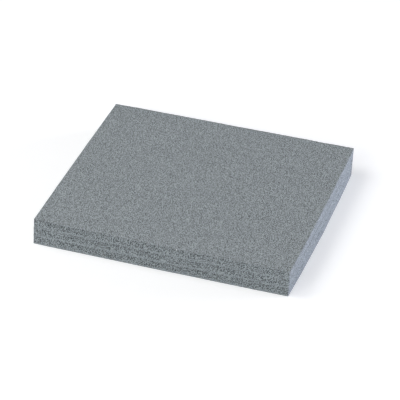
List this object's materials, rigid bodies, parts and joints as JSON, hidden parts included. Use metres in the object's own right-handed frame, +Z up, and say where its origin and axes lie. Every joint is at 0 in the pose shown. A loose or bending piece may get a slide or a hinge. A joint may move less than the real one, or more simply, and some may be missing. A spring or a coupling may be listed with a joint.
{
  "type": "foam case insert",
  "caption": "Rectangular foam insert for an equipment box, made of equal loose sheets stacked flat, with softly dished die-cut edges.",
  "frame": {"origin": "middle of the stack's footprint, on the underside of the bottom sheet", "axes": "+X along the long sides, +Y towards the rear, +Z up through the sheets"},
  "size_m": [0.2684, 0.2266, 0.03],
  "materials": {
    "grey_foam": "matt open-cell polyurethane foam, fine cells, cut faces"
  },
  "bodies": {
    "root": {"foam_sheet_bottom": "grey_foam", "foam_sheet_middle": "grey_foam", "foam_sheet_top": "grey_foam"}
  },
  "joints": []
}
